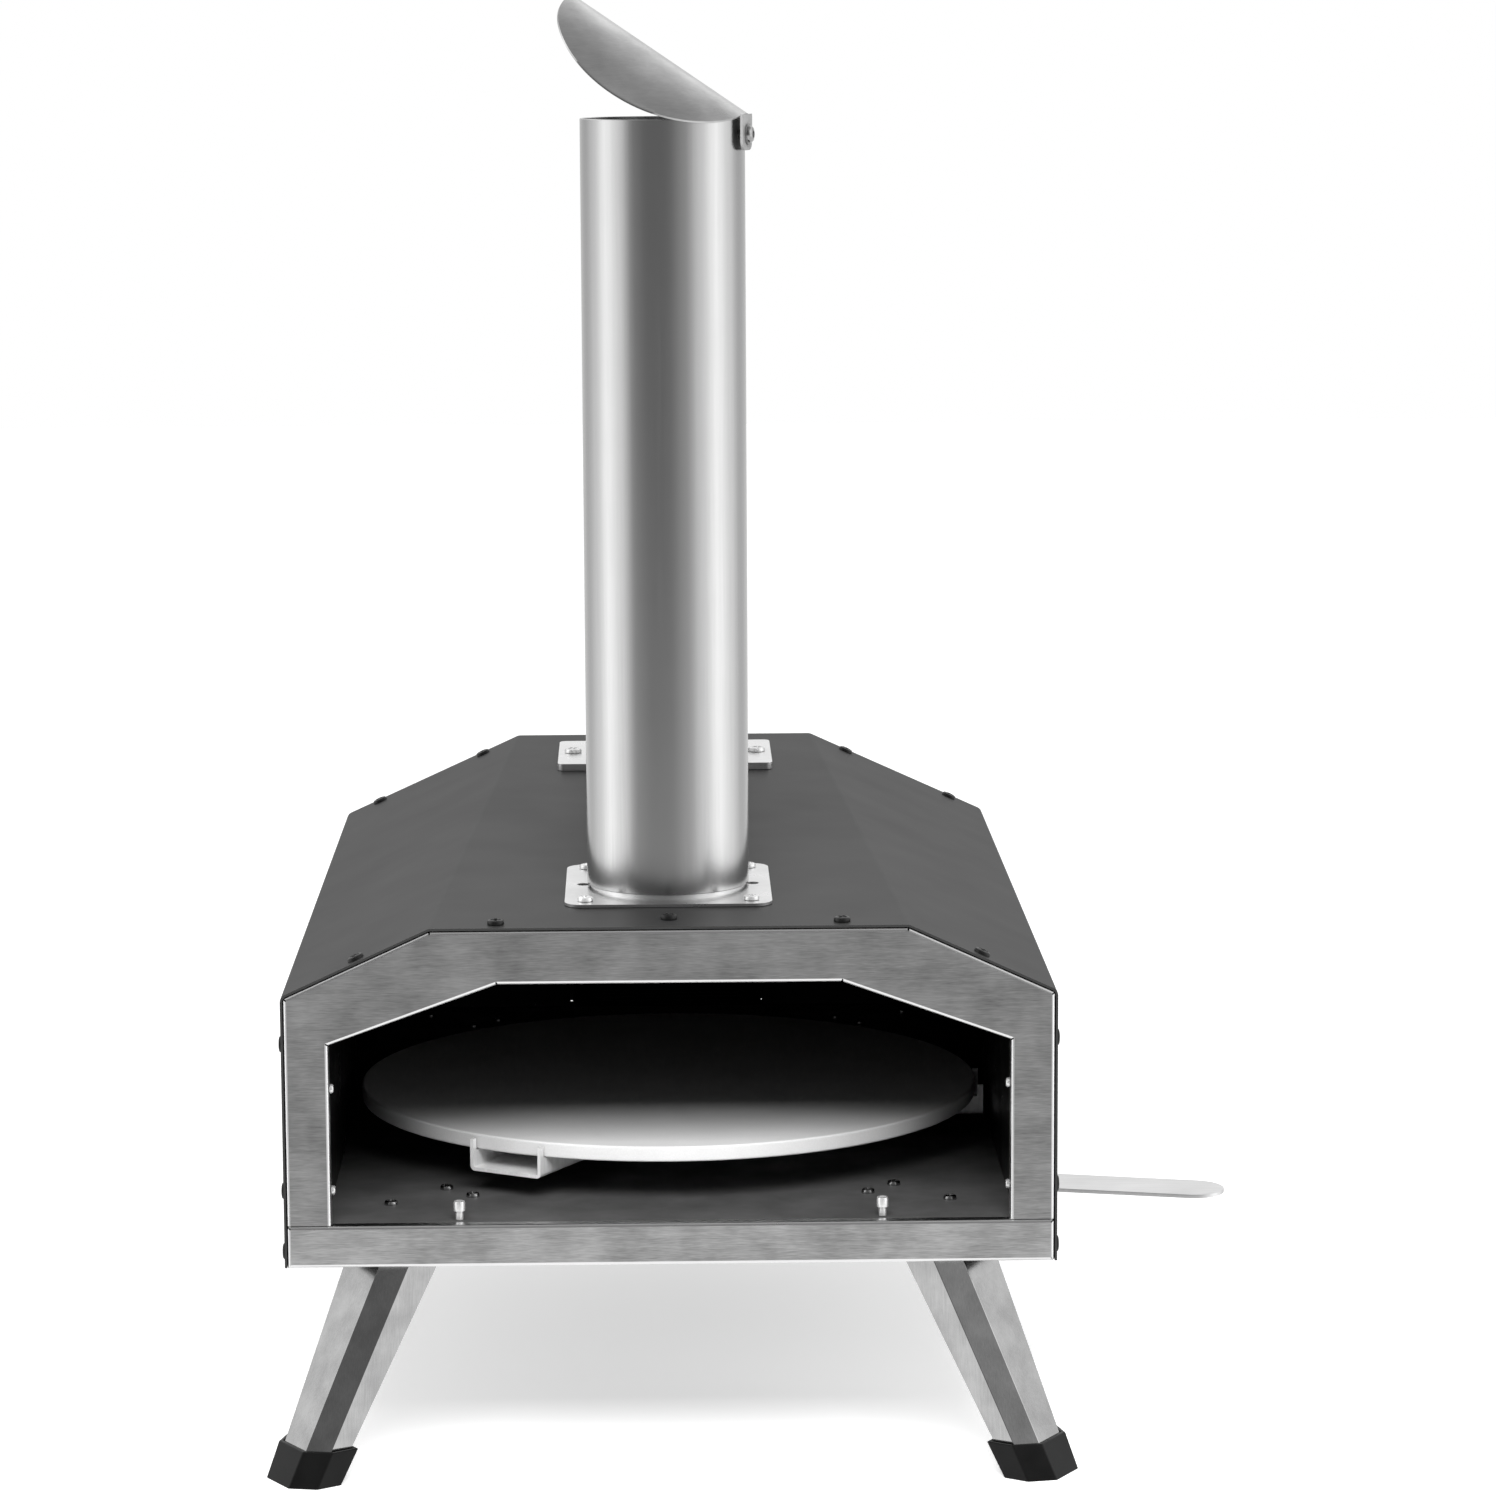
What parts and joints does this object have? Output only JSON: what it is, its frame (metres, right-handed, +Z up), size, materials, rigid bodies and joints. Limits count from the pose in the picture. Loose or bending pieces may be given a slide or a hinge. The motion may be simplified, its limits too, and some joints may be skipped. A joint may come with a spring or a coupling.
{
  "type": "wood fired pizza oven",
  "caption": "Portable pellet and wood fired pizza oven with a turning baking stone, tall chimney with rain cap, fuel hopper, burner drawer and folding legs.",
  "frame": {"origin": "on the ground, under the middle of the part's overall box, with the lever and the drawer handle counted; the middle plane of the oven body is at X = -0.0466 m and its front face at Y = -0.2906 m", "axes": "+Z up, -Y out of the oven's mouth, +X towards the side that the turning lever comes out of"},
  "size_m": [0.498, 0.5996, 0.7389],
  "materials": {
    "brushed_steel": "satin",
    "bright_steel": "satin",
    "plain_steel": "satin",
    "black_paint": "satin",
    "black_enamel": "satin",
    "ceramic_wool": "matte",
    "baking_stone": "matte",
    "black_plastic": "satin"
  },
  "bodies": {
    "oven_body": {"back_panel": "black_paint", "cap_nut": "plain_steel", "cap_screw": "plain_steel", "chamfer_screw_left": "black_paint", "chamfer_screw_right": "black_paint", "chimney_cap": "brushed_steel", "chimney_flange": "bright_steel", "chimney_tube": "brushed_steel", "door_stop_left": "plain_steel", "door_stop_right": "plain_steel", "flange_screw_back_left": "plain_steel", "flange_screw_back_right": "plain_steel", "flange_screw_front_left": "plain_steel", "flange_screw_front_right": "plain_steel", "floor_pan": "black_enamel", "front_frame": "brushed_steel", "front_rail": "brushed_steel", "hopper_body": "brushed_steel", "hopper_flange": "bright_steel", "hopper_lid_pin": "plain_steel", "hopper_screw_left": "plain_steel", "hopper_screw_right": "plain_steel", "inner_liner": "black_enamel", "insulation_blanket": "ceramic_wool", "leg_bracket_front_left": "plain_steel", "leg_bracket_front_right": "plain_steel", "leg_bracket_rear_left": "plain_steel", "leg_bracket_rear_right": "plain_steel", "leg_pin_front_left": "plain_steel", "leg_pin_front_right": "plain_steel", "leg_pin_rear_left": "plain_steel", "leg_pin_rear_right": "plain_steel", "outer_shell": "black_paint", "roof_screw_left": "black_paint", "roof_screw_middle": "black_paint", "roof_screw_right": "black_paint", "shaft_bush": "plain_steel"},
    "hopper_cover": {"hopper_lid": "brushed_steel", "hopper_lid_knob": "black_plastic"},
    "burner_drawer": {"burner_tray": "plain_steel", "fire_grate": "plain_steel", "burner_door": "brushed_steel", "burner_handle": "black_plastic"},
    "turntable": {"pizza_stone": "baking_stone", "stone_carrier": "brushed_steel", "turntable_shaft": "plain_steel", "hub_nut": "plain_steel", "turn_lever": "brushed_steel", "lever_nut": "plain_steel"},
    "folding_leg_front_left": {"leg_front_left": "brushed_steel", "foot_front_left": "black_plastic"},
    "folding_leg_front_right": {"leg_front_right": "brushed_steel", "foot_front_right": "black_plastic"},
    "folding_leg_rear_left": {"leg_rear_left": "brushed_steel", "foot_rear_left": "black_plastic"},
    "folding_leg_rear_right": {"leg_rear_right": "brushed_steel", "foot_rear_right": "black_plastic"}
  },
  "joints": [
    {"name": "hopper_lid_hinge", "type": "hinge", "parent": "oven_body", "child": "hopper_cover", "pos_m": [-0.04373, 0.20929, 0.419], "axis": [-1, 0, 0], "range_deg": [0, 110]},
    {"name": "burner_drawer_slide", "type": "slide", "parent": "oven_body", "child": "burner_drawer", "axis": [0, 1, 0], "range_m": [0, 0.145]},
    {"name": "turntable_spin", "type": "hinge", "parent": "oven_body", "child": "turntable", "pos_m": [-0.04373, -0.08551, 0.133], "axis": [0, 0, 1], "range_deg": [-16, 44]},
    {"name": "leg_fold_front_left", "type": "hinge", "parent": "oven_body", "child": "folding_leg_front_left", "pos_m": [-0.18203, -0.24851, 0.117], "axis": [0.5402, -0.8415, 0], "range_deg": [0, 112]},
    {"name": "leg_fold_front_right", "type": "hinge", "parent": "oven_body", "child": "folding_leg_front_right", "pos_m": [0.09457, -0.24851, 0.117], "axis": [0.5402, 0.8415, 0], "range_deg": [0, 112]},
    {"name": "leg_fold_rear_left", "type": "hinge", "parent": "oven_body", "child": "folding_leg_rear_left", "pos_m": [-0.18203, 0.22049, 0.117], "axis": [-0.5402, -0.8415, 0], "range_deg": [0, 112]},
    {"name": "leg_fold_rear_right", "type": "hinge", "parent": "oven_body", "child": "folding_leg_rear_right", "pos_m": [0.09457, 0.22049, 0.117], "axis": [-0.5402, 0.8415, 0], "range_deg": [0, 112]}
  ]
}
